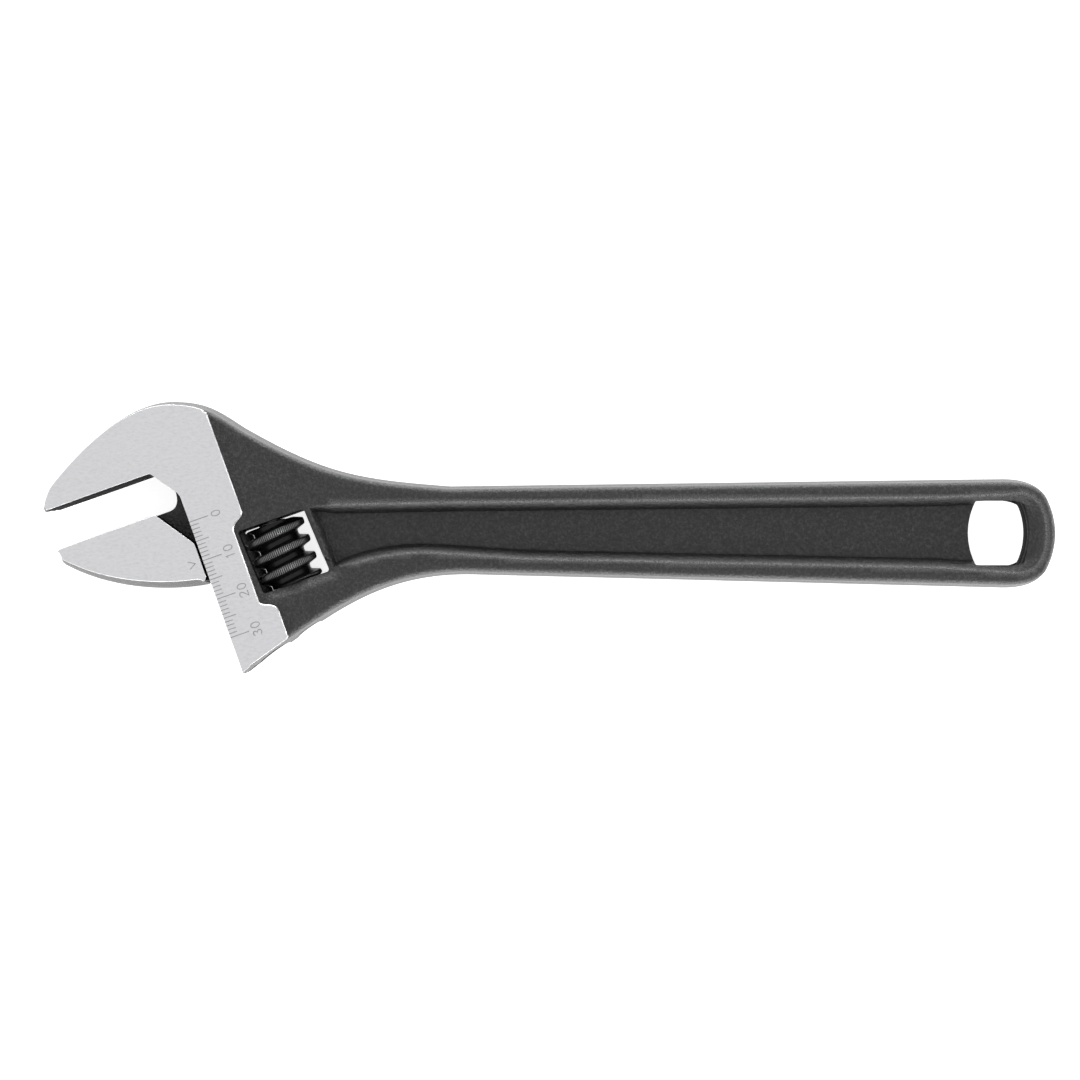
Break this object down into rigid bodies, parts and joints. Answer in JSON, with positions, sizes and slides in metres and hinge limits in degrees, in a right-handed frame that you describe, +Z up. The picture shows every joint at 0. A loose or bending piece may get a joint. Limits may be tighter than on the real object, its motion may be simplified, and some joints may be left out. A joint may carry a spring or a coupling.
{
  "type": "adjustable wrench",
  "caption": "Adjustable wrench with a forged body, a sliding hook jaw on a round rack rail, and a knurled worm on a spring-loaded pin.",
  "frame": {"origin": "middle of the footprint on the surface the wrench lies on", "axes": "+X along the handle towards the hanging hole, +Y towards the back of the fixed jaw, +Z up through the ground face with the scale"},
  "size_m": [0.2502, 0.0674, 0.0154],
  "materials": {
    "forged_steel": "black phosphate over a fine blasted forging skin, satin",
    "ground_steel": "satin ground steel with fine even grain",
    "worm_steel": "dark oiled steel, knurl worn bright on its crests",
    "pin_steel": "turned steel, slotted head",
    "spring_steel": "drawn wire"
  },
  "bodies": {
    "frame": {"body": "forged_steel", "worm_pin": "pin_steel", "worm_spring": "spring_steel"},
    "jaw": {"sliding_jaw": "ground_steel"},
    "worm": {"worm": "worm_steel"}
  },
  "joints": [
    {"name": "jaw_slide", "type": "slide", "parent": "frame", "child": "jaw", "axis": [0.3338, -0.9426, 0], "range_m": [-0.00995, 0.02]},
    {"name": "worm_spin", "type": "hinge", "parent": "frame", "child": "worm", "pos_m": [-0.06589, -0.00401, 0.0077], "axis": [0.3338, -0.9426, 0], "range_deg": [-1601, 797]}
  ],
  "couplings": [
    {"joint": "worm_spin", "follows": "jaw_slide", "rad_per_m": -1396.3}
  ]
}
